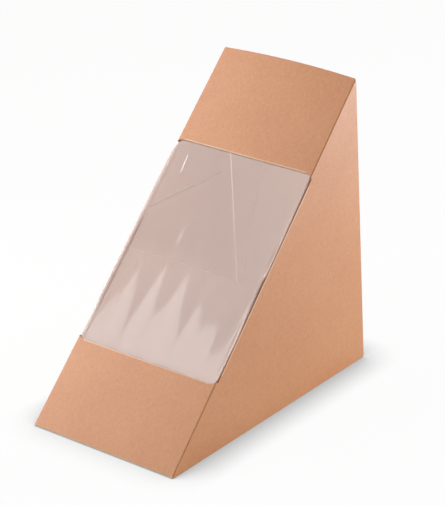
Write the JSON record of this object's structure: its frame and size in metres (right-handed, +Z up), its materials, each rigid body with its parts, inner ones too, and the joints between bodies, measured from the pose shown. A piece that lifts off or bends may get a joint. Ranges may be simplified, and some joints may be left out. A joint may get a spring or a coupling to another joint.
{
  "type": "windowed sandwich box",
  "caption": "Wedge-shaped folded board sandwich box with a clear film window across its sloping front and a tucked back panel that opens.",
  "frame": {"origin": "centre of the box's footprint, on the surface that it stands on", "axes": "+Z up, +X across the box to the right of someone facing the window, the sloping window panel faces -Y and the back panel +Y"},
  "size_m": [0.0742, 0.1252, 0.1247],
  "materials": {
    "kraft_board": "matte uncoated kraft with fine fibres",
    "window_film": "clear film with a slight milky sheen"
  },
  "bodies": {
    "box": {"carton": "kraft_board", "window_film": "window_film"},
    "lid": {"back_lid": "kraft_board"}
  },
  "joints": [
    {"name": "back_lid_fold", "type": "hinge", "parent": "box", "child": "lid", "pos_m": [0, 0.0616, 0], "axis": [-1, 0, 0], "range_deg": [0, 90]}
  ]
}
